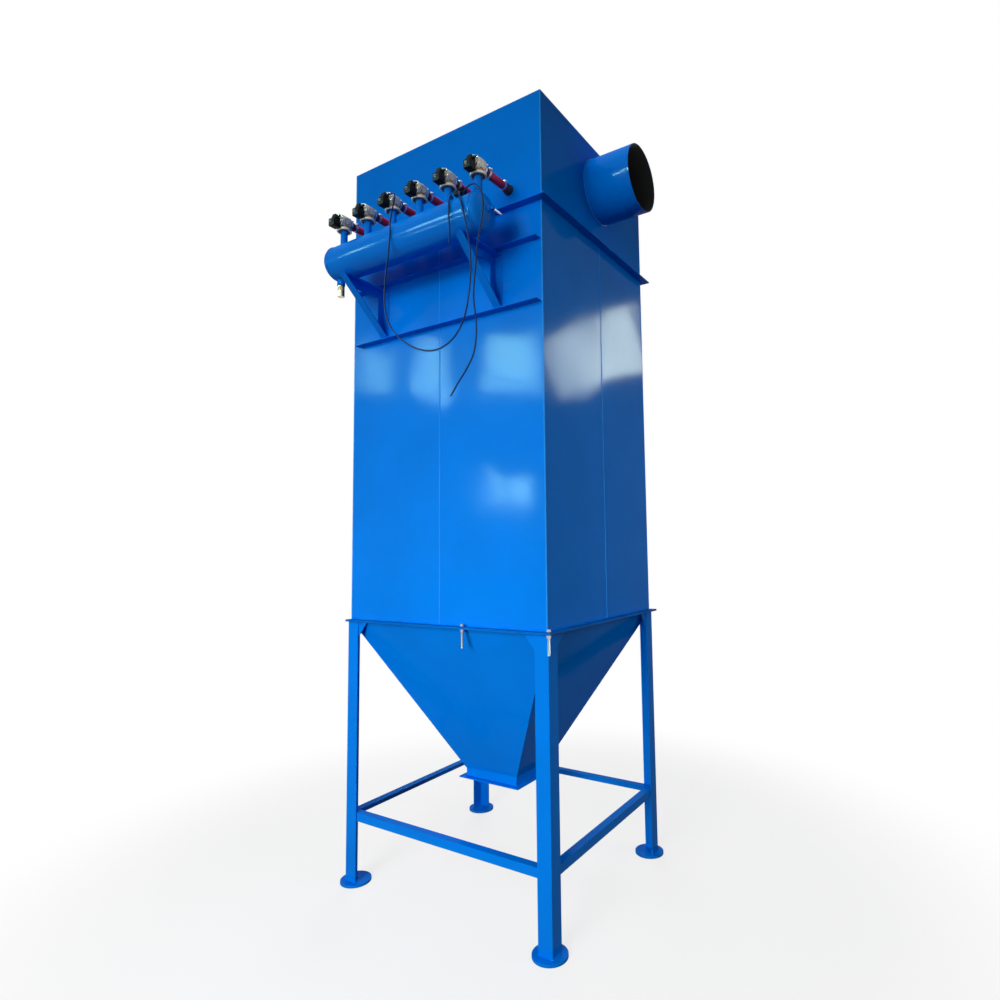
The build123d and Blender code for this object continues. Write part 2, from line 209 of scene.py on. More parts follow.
# Painted highlight: a lighter copy of the enamel for weld beads and folded corners, for the light lines
# along them
highlightedSeamEnamel = sprayedEnamel("blue enamel, lightened for painted highlight on welds", enamel["gloss"],
                           colours=enamel["seam"])
aluminium = castMetal("cast aluminium, blasted", "EFE8D8", "B2AA9A")
gunmetal = castMetal("gunmetal, cast", "B99468", "8A6644")
zinc = zincPlate()
brass = turnedBrass()
blackPlastic = polymer("glass-filled nylon, moulded black", "14161C", "0C0D12",
                       roughness=0.55, grainSize=3, grainDepth=0.0004, specular=0.10)
greyPlastic = polymer("polyamide, moulded grey", "8E9096", "777A80",
                      roughness=0.45, grainSize=3, grainDepth=0.0003)
wallRubber = polymer("EPDM rubber, moulded black", "141A2A", "0C101C",
                     roughness=0.6, grainSize=5, grainDepth=0.0005)
brownRubber = polymer("natural rubber, moulded brown", "4A2C22", "301A14",
                      roughness=0.6, grainSize=5, grainDepth=0.0005)
redRubber = polymer("silicone hose, extruded red", "E0263E", "BC182E",
                    roughness=0.38, grainSize=8, grainDepth=0.0004)
# Painted reflection: the sheath is black, and its navy colour stands in for the blue paint reflected in it
reflectionTintedCable = polymer("PVC cable sheath, black, painted blue reflection", "0E2C64", "0B2250",
                   roughness=0.5, grainSize=4, grainDepth=0.0003, specular=0.12)
# Painted shade: a black lining that makes the duct's bore dark, where the darkness is its shade
paintedShadeLining = polymer("black lining, painted shade in the duct's bore", "0B0C0E", "060708",
                  roughness=0.7, grainSize=14, grainDepth=0.001)
fibreGasket = polymer("fibre gasket, die-cut", "9A6A40", "7C5430",
                      roughness=0.7, grainSize=4, grainDepth=0.0005)
print("materials made")


# Mesh helpers

def paint(piece, material):
    piece.data.materials.clear()
    piece.data.materials.append(material)


def meshPiece(name, mesh, material, smoothAngle=35):
    data = bpy.data.meshes.new(name)
    mesh.to_mesh(data)
    mesh.free()
    piece = bpy.data.objects.new(name, data)
    bpy.context.scene.collection.objects.link(piece)
    paint(piece, material)
    smooth(piece, smoothAngle)
    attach(piece, "root")
    return piece


def smooth(piece, angle):
    data = piece.data
    for face in data.polygons:
        face.use_smooth = True
    data.set_sharp_from_angle(angle=math.radians(angle))


def axisMatrix(origin, direction, spin=0.0):
    turn = Vector(direction).to_track_quat("Z", "Y").to_matrix().to_4x4()
    return Matrix.Translation(origin) @ turn @ Matrix.Rotation(spin, 4, "Z")


def lathe(mesh, profile, origin, direction, steps=48):
    # profile is a list of (radius, height) along the axis
    matrix = axisMatrix(origin, direction)
    rings = []
    for radius, height in profile:
        if radius < 1e-6:
            rings.append([mesh.verts.new(matrix @ Vector((0, 0, height)))])
            continue
        ring = []
        for step in range(steps):
            angle = 2 * math.pi * step / steps
            point = Vector((radius * math.cos(angle), radius * math.sin(angle), height))
            ring.append(mesh.verts.new(matrix @ point))
        rings.append(ring)
    for low, high in zip(rings, rings[1:]):
        for step in range(steps):
            after = (step + 1) % steps
            if len(low) == 1 and len(high) == 1:
                continue
            if len(low) == 1:
                mesh.faces.new((low[0], high[after], high[step]))
            elif len(high) == 1:
                mesh.faces.new((low[step], low[after], high[0]))
            else:
                mesh.faces.new((low[step], low[after], high[after], high[step]))


def closedLathe(mesh, profile, origin, direction, steps=48):
    # a ring-shaped body: the profile comes back to its first point, where the rings are merged
    lathe(mesh, [*profile, profile[0]], origin, direction, steps)
    bmesh.ops.remove_doubles(mesh, verts=mesh.verts, dist=1e-6)


def capAndWall(mesh, low, high):
    # closes two like outlines into a solid
    faces = [mesh.faces.new(low[::-1]), mesh.faces.new(high)]
    count = len(low)
    for step in range(count):
        after = (step + 1) % count
        faces.append(mesh.faces.new((low[step], low[after], high[after], high[step])))
    return faces


def prism(mesh, outline, origin, direction, height, bevel=0.0, spin=0.0):
    # a flat outline pushed along an axis, with its edges rounded
    matrix = axisMatrix(origin, direction, spin)
    low = [mesh.verts.new(matrix @ Vector((x, y, 0))) for x, y in outline]
    high = [mesh.verts.new(matrix @ Vector((x, y, height))) for x, y in outline]
    faces = capAndWall(mesh, low, high)
    if bevel > 0:
        edges = {edge for face in faces for edge in face.edges}
        bmesh.ops.bevel(mesh, geom=list(edges), offset=bevel, segments=2, affect="EDGES", profile=0.5)


def hexagon(acrossFlats):
    radius = acrossFlats / math.sqrt(3)
    angles = [math.radians(60 * corner) for corner in range(6)]
    return [(radius * math.cos(angle), radius * math.sin(angle)) for angle in angles]


def rectangle(width, depth):
    x, y = width / 2, depth / 2
    return [(-x, -y), (x, -y), (x, y), (-x, y)]


def tube(mesh, points, radius, steps=10, closed=False, wobble=0.0, seed=1):
    # a round bar along points, for weld beads and folded corners; wobble gives a bead its ripple
    chance = random.Random(seed)
    places = [Vector(point) for point in points]
    count = len(places)
    rings = []
    side = None
    for index, place in enumerate(places):
        before = places[index - 1] if index or closed else place
        after = places[(index + 1) % count] if index < count - 1 or closed else place
        direction = (after - before).normalized()
        if side is None:
            side = direction.orthogonal().normalized()
        side = (side - direction * side.dot(direction)).normalized()
        up = direction.cross(side)
        size = radius * (1 + wobble * chance.uniform(-1, 1))
        ring = []
        for step in range(steps):
            angle = 2 * math.pi * step / steps
            ring.append(mesh.verts.new(place + (side * math.cos(angle) + up * math.sin(angle)) * size))
        rings.append(ring)
    pairs = list(zip(rings, rings[1:]))
    if closed:
        pairs.append((rings[-1], rings[0]))
    for low, high in pairs:
        for step in range(steps):
            after = (step + 1) % steps
            mesh.faces.new((low[step], low[after], high[after], high[step]))
    if not closed:
        mesh.faces.new(rings[0][::-1])
        mesh.faces.new(rings[-1])


def between(start, end, spacing):
    # points on a straight line, about this far apart
    start, end = Vector(start), Vector(end)
    count = max(2, int((end - start).length / spacing))
    return [start.lerp(end, step / count) for step in range(count + 1)]


def circlePoints(origin, direction, radius, count):
    matrix = axisMatrix(origin, direction)
    angles = [2 * math.pi * step / count for step in range(count)]
    return [matrix @ Vector((radius * math.cos(angle), radius * math.sin(angle), 0)) for angle in angles]


# Camera at the photograph's place, with its framing
cameraSpec = {
    "place": (2.0278, -2.7223, 1.6368),
    "yaw": 0.5513,
    "pitch": 0.0839,
    "roll": -0.0160,
    "lens": 22.463,
    "shift": (-0.0604, -0.0046),
}


def makeCamera():
    yaw, pitch, roll = cameraSpec["yaw"], cameraSpec["pitch"], cameraSpec["roll"]
    forward = Vector((-math.sin(yaw) * math.cos(pitch), math.cos(yaw) * math.cos(pitch), math.sin(pitch)))
    right = Vector((math.cos(yaw), math.sin(yaw), 0))
    up = right.cross(forward)
    right, up = (math.cos(roll) * right + math.sin(roll) * up,
                 math.cos(roll) * up - math.sin(roll) * right)
    data = bpy.data.cameras.new("photo camera")
    data.sensor_width = 36
    data.lens = cameraSpec["lens"]
    data.shift_x, data.shift_y = cameraSpec["shift"]
    camera = bpy.data.objects.new("photoCamera", data)
    turn = Matrix((right, up, -forward)).transposed().to_4x4()
    camera.matrix_world = Matrix.Translation(cameraSpec["place"]) @ turn
    bpy.context.scene.collection.objects.link(camera)
    bpy.context.scene.camera = camera


makeCamera()
print("camera placed")


# Cables, 7 mm PVC sheathed: the same points as the solids' routes
cableSpec = {
    "diameter": 0.007,
    "tail": [
        (0.272, -0.660, 3.228), (0.272, -0.660, 3.190), (0.288, -0.688, 3.156), (0.332, -0.735, 3.156),
        (0.386, -0.774, 3.163), (0.446, -0.796, 3.154), (0.490, -0.802, 3.106), (0.504, -0.804, 3.040),
        (0.492, -0.803, 2.968), (0.468, -0.803, 2.890), (0.464, -0.803, 2.808), (0.450, -0.802, 2.728),
        (0.446, -0.802, 2.650), (0.458, -0.800, 2.572), (0.461, -0.801, 2.500), (0.448, -0.800, 2.425),
        (0.405, -0.801, 2.362), (0.362, -0.800, 2.320), (0.322, -0.801, 2.268),
    ],
    "loop": [
        (-0.071, -0.792, 3.2665), (-0.033, -0.792, 3.2665), (-0.005, -0.802, 3.241), (-0.002, -0.819, 3.180),
        (-0.003, -0.834, 3.105), (-0.006, -0.832, 3.025), (-0.016, -0.833, 2.940), (-0.028, -0.835, 2.860),
        (-0.036, -0.834, 2.780), (-0.034, -0.834, 2.705), (-0.010, -0.833, 2.635), (0.038, -0.833, 2.572),
        (0.115, -0.832, 2.510), (0.205, -0.832, 2.470), (0.290, -0.831, 2.462), (0.365, -0.831, 2.492),
        (0.415, -0.831, 2.550), (0.440, -0.830, 2.625), (0.452, -0.829, 2.705), (0.456, -0.828, 2.790),
        (0.450, -0.828, 2.870), (0.438, -0.830, 2.945), (0.420, -0.833, 3.018), (0.402, -0.833, 3.085),
        (0.372, -0.804, 3.138), (0.322, -0.752, 3.160), (0.272, -0.694, 3.152), (0.255, -0.660, 3.190),
        (0.255, -0.660, 3.228),
    ],
    "short": [
        (0.238, -0.660, 3.228), (0.238, -0.660, 3.190), (0.252, -0.694, 3.155), (0.290, -0.746, 3.156),
        (0.322, -0.798, 3.140), (0.340, -0.831, 3.092), (0.344, -0.836, 3.022), (0.348, -0.832, 2.952),
        (0.345, -0.834, 2.895),
    ],
}


def makeCable(name, node, points):
    data = bpy.data.curves.new(name, "CURVE")
    data.dimensions = "3D"
    spline = data.splines.new("NURBS")
    spline.points.add(len(points) - 1)
    for target, point in zip(spline.points, points):
        target.co = (*point, 1.0)
    spline.order_u = 3
    spline.use_endpoint_u = True
    data.resolution_u = 8
    data.bevel_depth = cableSpec["diameter"] / 2
    data.bevel_resolution = 4
    data.use_fill_caps = True
    cable = bpy.data.objects.new(name, data)
    bpy.context.scene.collection.objects.link(cable)
    data.materials.append(reflectionTintedCable)
    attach(cable, "root")
    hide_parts(node)


makeCable("cableTail", "cable_tail", cableSpec["tail"])
makeCable("cableLoop", "cable_loop", cableSpec["loop"])
makeCable("cableShort", "cable_short", cableSpec["short"])
print("cables made")


# CAD pieces that keep their shape and get their finish here

dressSpec = {"barEdge": 0.0012, "clipEdge": 0.002, "mergeGap": 0.00005}


def dressNode(name, material, bevel=0.0):
    piece = nodes[name]
    paint(piece, material)
    if bevel > 0:
        weld = piece.modifiers.new("join", "WELD")
        weld.merge_threshold = dressSpec["mergeGap"]
        edge = piece.modifiers.new("rounded edges", "BEVEL")
        edge.width = bevel
        edge.segments = 2
        edge.limit_method = "ANGLE"
        edge.angle_limit = math.radians(40)
        edge.harden_normals = True


barNodes = ("leg_front_left", "leg_front_right", "leg_back_left", "leg_back_right",
            "brace_front", "brace_back", "brace_left", "brace_right",
            "tank_bracket_left", "tank_bracket_right", "front_rib_upper", "front_rib_lower",
            "tubesheet", "hopper_outlet_flange")
dressNode("filter_casing", panelEnamel)
for name in ("clean_air_box", "roof", "hopper"):
    dressNode(name, boxEnamel)
for name in ("header_tank", "outlet_duct"):
    dressNode(name, tubeEnamel)
for name in barNodes:
    dressNode(name, frameEnamel, dressSpec["barEdge"])
# the flanges take the darkened enamel, painted shade along their edges
for name in ("hopper_flange", "casing_flange"):
    dressNode(name, shadedFlangeEnamel, dressSpec["barEdge"])
dressNode("cable_clip", blackPlastic, dressSpec["clipEdge"])
print("CAD pieces finished")


# Pulse valves. Heights are counted from the hose's centre line, and distances along it from the
# middle of the body, towards the wall. An outline is a list of (radius, distance) along its axis
along = Vector((0, 1, 0))      # from the valve to the wall
towards = Vector((0, -1, 0))   # from the valve to the front
upward = Vector((0, 0, 1))
downward = Vector((0, 0, -1))
sideways = Vector((1, 0, 0))

valveSpec = {
    "places": [(-0.425 + 0.17 * number, -0.740, 3.262) for number in range(6)],
    "inletRim": 0.036,
    "inletFace": 0.0285,
    "inletBore": 0.02,
    "inletBottom": -0.048,
    "inletTop": -0.036,
    "gasketBore": 0.0172,
    "gasket": 0.003,
    "neck": 0.0225,
    "back": 0.025,
    "barrel": [
        (0, 0), (0.022, 0), (0.0255, 0.003), (0.0262, 0.010), (0.0262, 0.034), (0.0305, 0.0375),
        (0.031, 0.039), (0.031, 0.0475), (0.0302, 0.0488), (0.0285, 0.0488), (0.0285, 0.0502),
        (0.0302, 0.0502), (0.031, 0.0514), (0.031, 0.0568), (0.0298, 0.0585), (0.0215, 0.0592),
        (0.0195, 0.0615), (0.0185, 0.062), (0, 0.062),
    ],
    "outlet": [(0, 0), (0.0195, 0), (0.0195, 0.004), (0.0185, 0.006), (0.0185, 0.029), (0, 0.029)],
    "fin": (0.0035, 0.036),
    "sideFin": (0.0245, 0.002, -0.010),
    "sideFinHeight": 0.030,
    "topFin": (0.0, 0.002, 0.018),
    "topFinHeight": 0.0125,
    "coverFront": -0.037,
    "bolts": 6,
    "boltCircle": 0.0262,
    "boltBoss": 0.0052,
    "bossBack": 0.006,
    "bossLength": 0.017,
    "boltFlats": 0.0085,
    "boltHead": 0.0038,
}


def coverBolts():
    # the angle of each bolt round the valve's cover, and where it is from the cover's middle
    angles = [math.radians(360 * bolt / valveSpec["bolts"] + 30) for bolt in range(valveSpec["bolts"])]
    circle = valveSpec["boltCircle"]
    return [(angle, Vector((math.cos(angle), 0, math.sin(angle))) * circle) for angle in angles]


def makeValveBody(number, centre):
    spec = valveSpec
    rim, face, bore = spec["inletRim"], spec["inletFace"], spec["inletBore"]
    bottom, top = spec["inletBottom"], spec["inletTop"]
    mesh = bmesh.new()
    closedLathe(mesh, [(face, bottom), (rim - 0.0015, bottom), (rim, bottom + 0.0015), (rim, top - 0.003),
                       (rim - 0.003, top), (bore, top), (bore, bottom + 0.006), (face, bottom + 0.006)],
                centre, upward)
    back = centre + along * spec["back"]
    lathe(mesh, spec["barrel"], back, towards)
    lathe(mesh, spec["outlet"], back, along)
    boss, length = spec["boltBoss"], spec["bossLength"]
    for _, out in coverBolts():
        lathe(mesh, [(0, 0), (boss, 0.001), (boss, length), (0, length)],
              centre + out + along * spec["bossBack"], towards, steps=16)
    fin = rectangle(*spec["fin"])
    finX, finY, finZ = spec["sideFin"]
    for side in (-1, 1):
        prism(mesh, fin, centre + Vector((side * finX, finY, finZ)), upward, spec["sideFinHeight"],
              bevel=0.001)
    prism(mesh, fin, centre + Vector(spec["topFin"]), upward, spec["topFinHeight"], bevel=0.001)
    piece = meshPiece(f"valveBody{number}", mesh, aluminium, smoothAngle=30)
    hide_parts(f"pulse_valve_{number}")


# Worm-drive clamps, with the screw housing on the upper right of the band
clampSpec = {
    "places": [(0.030, 0.0206), (0.062, 0.0190), (0.169, 0.0190)],   # distance along the hose, radius
    "band": 0.009,
    "bandInside": 0.0007,
    "bandOutside": 0.0002,
    "screwLift": 0.0035,
    "housing": (0.0085, 0.0075),
    "screw": 0.0028,
    "screwLength": 0.019,
    "screwFlats": 0.007,
}


def makeClamp(mesh, origin, radius):
    spec = clampSpec
    inner, outer, band = radius - spec["bandInside"], radius + spec["bandOutside"], spec["band"]
    closedLathe(mesh, [(inner, 0), (radius, 0), (outer, 0.0005), (outer, band - 0.0005), (radius, band),
                       (inner, band)], origin, along)
    middle = origin + along * (band / 2) + Vector((0.5, 0, 0.866)) * (radius + spec["screwLift"])
    turn = Vector((0.866, 0, -0.5))
    screw, length = spec["screw"], spec["screwLength"]
    prism(mesh, rectangle(*spec["housing"]), middle - turn * 0.006, turn, 0.012, bevel=0.001)
    lathe(mesh, [(0, 0), (screw, 0), (screw, length), (0, length)], middle - turn * 0.009, turn, steps=16)
    prism(mesh, hexagon(spec["screwFlats"]), middle + turn * 0.010, turn, 0.004, bevel=0.0004)


# Gasket, neck, screws and clamps of one valve
def makeValveFittings(number, centre):
    spec = valveSpec
    neck, face, bore, thick = spec["neck"], spec["inletFace"], spec["gasketBore"], spec["gasket"]
    mesh = bmesh.new()
    lathe(mesh, [(bore, 0), (face, 0), (face, thick), (bore, thick)],
          centre + upward * (spec["inletBottom"] + 0.0025), upward)
    meshPiece(f"inletGasket{number}", mesh, fibreGasket, smoothAngle=40)

    mesh = bmesh.new()
    lathe(mesh, [(neck + 0.003, 0), (neck + 0.003, 0.002), (neck, 0.004), (neck, 0.022),
                 (neck - 0.004, 0.030)], centre + upward * spec["inletTop"], upward)
    meshPiece(f"inletNeck{number}", mesh, gunmetal, smoothAngle=40)

    mesh = bmesh.new()
    boss = spec["boltBoss"]
    washer = [(0, 0), (boss, 0), (boss, 0.001), (0, 0.001)]
    for angle, out in coverBolts():
        spot = centre + along * spec["coverFront"] + out + along * 0.004
        lathe(mesh, washer, spot, towards, steps=20)
        prism(mesh, hexagon(spec["boltFlats"]), spot + towards * 0.001, towards, spec["boltHead"],
              bevel=0.0005, spin=angle)
    for place, radius in clampSpec["places"]:
        makeClamp(mesh, centre + along * place, radius)
    meshPiece(f"valveHardware{number}", mesh, zinc, smoothAngle=30)


# Solenoid coil low on the valve's cover, with its plug on top
coilSpec = {
    "drop": 0.028,          # below the hose's centre line
    "size": 0.038,
    "length": 0.0425,
    "backPlate": 0.0125,
    "seat": (0.026, 0.030),
    "plugPlace": 0.015,     # in front of the cover
    "plug": (0.0265, 0.0285),
    "plugCap": (0.0225, 0.0235),
    "plugSeal": (0.0275, 0.0295),
    "glandHeight": 0.0135,
    "glandFlats": 0.0135,
    "gland": [(0.0038, 0), (0.0062, 0), (0.0058, 0.004), (0.0046, 0.014), (0.0038, 0.015)],
    "screw": [(0, 0), (0.0036, 0), (0.0036, 0.0022), (0.003, 0.0028), (0, 0.0028)],
    "nutFlats": 0.013,
    "coreEnd": [(0, 0), (0.0042, 0), (0.0042, 0.0045), (0.0034, 0.006), (0, 0.006)],
}


def makeCoil(number, centre):
    spec = coilSpec
    size, plate = spec["size"], spec["backPlate"]
    back = centre + Vector((0, valveSpec["coverFront"], -spec["drop"]))
    mesh = bmesh.new()
    lathe(mesh, [(0, 0), (plate, 0), (plate, 0.002), (0, 0.002)], back, towards, steps=32)
    prism(mesh, rectangle(size, size), back + towards * 0.0015, towards, spec["length"] - 0.0015,
          bevel=0.0032)
    prism(mesh, rectangle(*spec["seat"]), back + Vector((0, -0.016, size / 2 - 0.004)), upward, 0.0055,
          bevel=0.0012)
    coil = meshPiece(f"coil{number}", mesh, blackPlastic, smoothAngle=30)
    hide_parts(f"solenoid_coil_{number}")

    seat = back + Vector((0, -spec["plugPlace"], size / 2))
    high = spec["glandHeight"]
    mesh = bmesh.new()
    prism(mesh, rectangle(*spec["plug"]), seat + upward * 0.0012, upward, 0.0165, bevel=0.0022)
    prism(mesh, rectangle(*spec["plugCap"]), seat + upward * 0.0165, upward, 0.0095, bevel=0.0024)
    prism(mesh, hexagon(spec["glandFlats"]), seat + Vector((0.0125, 0, high)), sideways, 0.006,
          bevel=0.0006)
    closedLathe(mesh, spec["gland"], seat + Vector((0.018, 0, high)), sideways, steps=32)
    meshPiece(f"plug{number}", mesh, blackPlastic, smoothAngle=30)

    mesh = bmesh.new()
    prism(mesh, rectangle(*spec["plugSeal"]), seat + upward * 0.0002, upward, 0.0014, bevel=0.0004)
    lathe(mesh, spec["screw"], seat + upward * 0.0255, upward, steps=24)
    tip = back + towards * (spec["length"] - 0.0005)
    prism(mesh, hexagon(spec["nutFlats"]), tip, towards, 0.004, bevel=0.0006, spin=0.3)
    lathe(mesh, spec["coreEnd"], tip + towards * 0.0038, towards, steps=24)
    meshPiece(f"plugSeal{number}", mesh, greyPlastic, smoothAngle=40)


# Blow hoses, from the valve's cuff to the stub in the wall
hoseSpec = {
    "start": 0.053,
    "end": 0.188,
    "radius": 0.0185,
    "clamped": [            # the end under its clamp
        (0.0160, 0), (0.0175, 0), (0.0182, 0.0012), (0.0183, 0.006), (0.0176, 0.009), (0.0176, 0.018),
        (0.0184, 0.022),
    ],
    "valveCuffPlace": 0.0265,
    "valveCuff": [
        (0.0176, 0), (0.0198, 0), (0.0206, 0.001), (0.0206, 0.023), (0.0197, 0.0275), (0.0184, 0.0275),
    ],
    "wallCuffLength": 0.0312,
    "wallCuff": [
        (0.0165, 0), (0.0200, 0), (0.0212, 0.002), (0.0212, 0.020), (0.0236, 0.024), (0.0236, 0.0312),
        (0.0165, 0.0312),
    ],
    "wall": 0.220,
    "stubBore": 0.0145,
    "stubRadius": 0.0162,
    "stubLength": 0.060,
}


def makeHose(number, centre):
    spec = hoseSpec
    start, wall = spec["start"], spec["wall"]
    length = spec["end"] - start
    mesh = bmesh.new()
    profile = [*spec["clamped"], (spec["radius"], length / 2)]
    profile += [(radius, length - height) for radius, height in profile[::-1][1:]]
    closedLathe(mesh, profile, centre + along * start, along)
    hose = meshPiece(f"hose{number}", mesh, redRubber, smoothAngle=40)
    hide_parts(f"blow_hose_{number}")

    mesh = bmesh.new()
    closedLathe(mesh, spec["valveCuff"], centre + along * spec["valveCuffPlace"], along)
    meshPiece(f"valveCuff{number}", mesh, brownRubber)

    mesh = bmesh.new()
    closedLathe(mesh, spec["wallCuff"], centre + along * (wall - spec["wallCuffLength"]), along)
    meshPiece(f"wallCuff{number}", mesh, wallRubber)

    mesh = bmesh.new()
    bore, radius, stub = spec["stubBore"], spec["stubRadius"], spec["stubLength"]
    closedLathe(mesh, [(bore, 0), (radius, 0), (radius, stub), (bore, stub)],
                centre + along * (wall - stub), along)
    meshPiece(f"stub{number}", mesh, frameEnamel)


for number, place in enumerate(valveSpec["places"], start=1):
    centre = Vector(place)
    makeValveBody(number, centre)
    makeValveFittings(number, centre)
    makeCoil(number, centre)
    makeHose(number, centre)
print("valves and hoses made")


# Tank: drain under its left end, air inlet at its right end
tankSpec = {
    "centre": (-0.010, -0.740, 3.052),
    "radius": 0.084,
    "barrelEnd": 0.4457,    # from the middle of the tank to where the heads are welded on
    "end": 0.4925,
    "riser": 0.017,
    "seam": 0.0594,         # how far behind and below the axis the barrel's seam lies
    "drainX": -0.4425,
    "drainLength": 0.082,
    "socket": 0.019,
    "socketDrop": 0.026,
    "nipple": 0.0166,
    "threads": 9,
    "threadStart": 0.031,
    "threadPitch": 0.0023,
    "threadDepth": 0.0011,
    "elbow": 0.016,
    "elbowBoss": [(0.012, -0.006), (0.012, 0.008), (0.011, 0.009), (0, 0.009)],
    "airNipple": [
        (0, 0), (0.0056, 0), (0.0056, 0.030), (0.0064, 0.031), (0.0064, 0.037), (0.0052, 0.038),
        (0.0052, 0.058), (0.0042, 0.060), (0, 0.060),
    ],
    "airNippleFlats": 0.013,
}


def makeDrain():
    spec = tankSpec
    x, y = spec["drainX"], spec["centre"][1]
    under = spec["centre"][2] - spec["radius"]
    socket, nipple = spec["socket"], spec["nipple"]
    mesh = bmesh.new()
    closedLathe(mesh, [(nipple, 0), (socket - 0.001, 0), (socket, 0.001), (socket, 0.029), (nipple, 0.029)],
                (x, y, under - spec["socketDrop"]), upward)
    meshPiece("drainSocket", mesh, frameEnamel)

    mesh = bmesh.new()
    profile = [(0.0, 0.0), (nipple - 0.0015, 0.0), (nipple, 0.0012), (nipple, 0.030)]
    for thread in range(spec["threads"]):
        height = spec["threadStart"] + thread * spec["threadPitch"]
        profile += [(nipple - spec["threadDepth"], height), (nipple, height + 0.00115)]
    profile += [(nipple, 0.054), (0.0, 0.054)]
    lathe(mesh, profile, (x, y, under - spec["drainLength"]), upward)
    piece = meshPiece("drainNipple", mesh, brass, smoothAngle=25)
    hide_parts("drain_cock")


def makeAirInlet():
    spec = tankSpec
    x, y, z = spec["centre"]
    end, elbow = x + spec["end"], spec["elbow"]
    mesh = bmesh.new()
    lathe(mesh, spec["elbowBoss"], (end, y, z), sideways, steps=32)
    prism(mesh, rectangle(elbow, elbow), (end + elbow, y, z - elbow / 2), upward, elbow, bevel=0.003)
    meshPiece("airInletElbow", mesh, frameEnamel)

    mesh = bmesh.new()
    lathe(mesh, spec["airNipple"], (end + elbow, y + 0.006, z), along, steps=32)
    prism(mesh, hexagon(spec["airNippleFlats"]), (end + elbow, y + 0.010, z), along, 0.006, bevel=0.0006)
    meshPiece("airInletNipple", mesh, zinc, smoothAngle=30)


makeDrain()
makeAirInlet()
print("tank fittings made")


# Long bolts through the two flanges under the casing
studSpec = {
    "places": [(0.162, -0.545), (0.622, -0.545), (-0.162, 0.545), (-0.560, 0.545)],
    "flangeTop": 1.295,
    "flangeBottom": 1.280,
    "end": 1.198,
    "shank": 0.006,
    "threadPitch": 0.002,
    "threadDepth": 0.0008,
    "threadFree": 0.012,    # plain length under the flange
    "washer": 0.0100,
    "washerThick": 0.0022,
    "flats": 0.0155,
    "head": 0.0075,
    "nut": 0.0095,
}


def studProfile(spec, length):
    shank, pitch = spec["shank"], spec["threadPitch"]
    profile = [(0, 0), (shank - 0.0012, 0), (shank, 0.0012)]
    height = pitch
    while height < length - spec["threadFree"]:
        profile += [(shank - spec["threadDepth"], height + pitch / 2), (shank, height + pitch)]
        height += pitch
    return profile + [(shank, length), (0, length)]


def makeStuds():
    spec = studSpec
    top, low, end = spec["flangeTop"], spec["flangeBottom"], spec["end"]
    wide, thick = spec["washer"], spec["washerThick"]
    washer = [(0, 0), (wide, 0), (wide, thick), (0, thick)]
    outline = hexagon(spec["flats"])
    mesh = bmesh.new()
    for x, y in spec["places"]:
        lathe(mesh, washer, (x, y, top), upward, steps=32)
        prism(mesh, outline, (x, y, top + thick), upward, spec["head"], bevel=0.0008, spin=0.2)
        lathe(mesh, washer, (x, y, low), downward, steps=32)
        prism(mesh, outline, (x, y, low - thick), downward, spec["nut"], bevel=0.0008, spin=0.5)
        lathe(mesh, studProfile(spec, low - end), (x, y, end), upward, steps=20)
    meshPiece("flangeStuds", mesh, zinc, smoothAngle=30)


makeStuds()


# Gusset plates between the tops of the legs and the hopper
gussetSpec = {"x": 0.604, "y": 0.524, "plate": 0.005, "top": 1.280, "drop": 0.150, "reach": 0.125}


def makeGussets():
    spec = gussetSpec
    mesh = bmesh.new()
    for sideX in (-1, 1):
        for sideY in (-1, 1):
            corner = Vector((sideX * spec["x"], sideY * spec["y"], spec["top"]))
            inX, inY = Vector((-sideX, 0, 0)), Vector((0, -sideY, 0))
            for reach, depth in ((inX, inY), (inY, inX)):
                outline = [corner, corner + reach * spec["reach"], corner - upward * spec["drop"]]
                low = [mesh.verts.new(point) for point in outline]
                high = [mesh.verts.new(point + depth * spec["plate"]) for point in outline]
                capAndWall(mesh, low, high)
    bmesh.ops.recalc_face_normals(mesh, faces=mesh.faces)
    meshPiece("legGussets", mesh, frameEnamel, smoothAngle=30)


makeGussets()
print("studs and gussets made")


# Welds: ripples of a hand-held torch, painted over
weldSpec = {
    "bead": 0.0028,         # radius of a bead
    "thinBead": 0.0024,
    "socketBead": 0.003,
    "ductBead": 0.0035,
    "cornerBead": 0.0036,
    "ripple": 0.13,
    "groundRipple": 0.05,
    "step": 0.005,          # from one ripple to the next
    "groundStep": 0.012,
    "cornerStep": 0.02,
    "stitch": 0.045,        # length of a short bead
    "pitch": 0.16,          # from one short bead to the next
}


def makeWelds(name, runs, radius=weldSpec["bead"], closed=False, material=frameEnamel):
    mesh = bmesh.new()
    for seed, run in enumerate(runs):
        tube(mesh, run, radius, steps=8, closed=closed, wobble=weldSpec["ripple"], seed=seed)
    meshPiece(name, mesh, material, smoothAngle=70)


def stitches(start, end):
    # short beads with gaps between them, so that thin sheet doesn't warp
    start, end = Vector(start), Vector(end)
    length = (end - start).length
    direction = (end - start).normalized()
    runs = []
    place = 0.01
    while place + weldSpec["stitch"] < length:
        first, last = start + direction * place, start + direction * (place + weldSpec["stitch"])
        runs.append(between(first, last, weldSpec["step"]))
        place += weldSpec["pitch"]
    return runs


def upright(x, y, low, high, spacing):
    return between((x, y, low), (x, y, high), spacing)


casingSpec = {
    "halfX": 0.600,
    "halfY": 0.520,
    "base": 1.295,
    "tubesheet": 3.166,
    "boxBase": 3.172,
    "roof": 3.680,
    "frontSeam": 0.004,     # x of the ground seam down the front and the back
    "sideSeam": 0.015,      # y of the one down each side
    "cornerInset": 0.0018,
    "hopperTop": 1.285,
    "neckX": 0.158,
    "neckY": 0.138,
    "neck": 0.510,
}


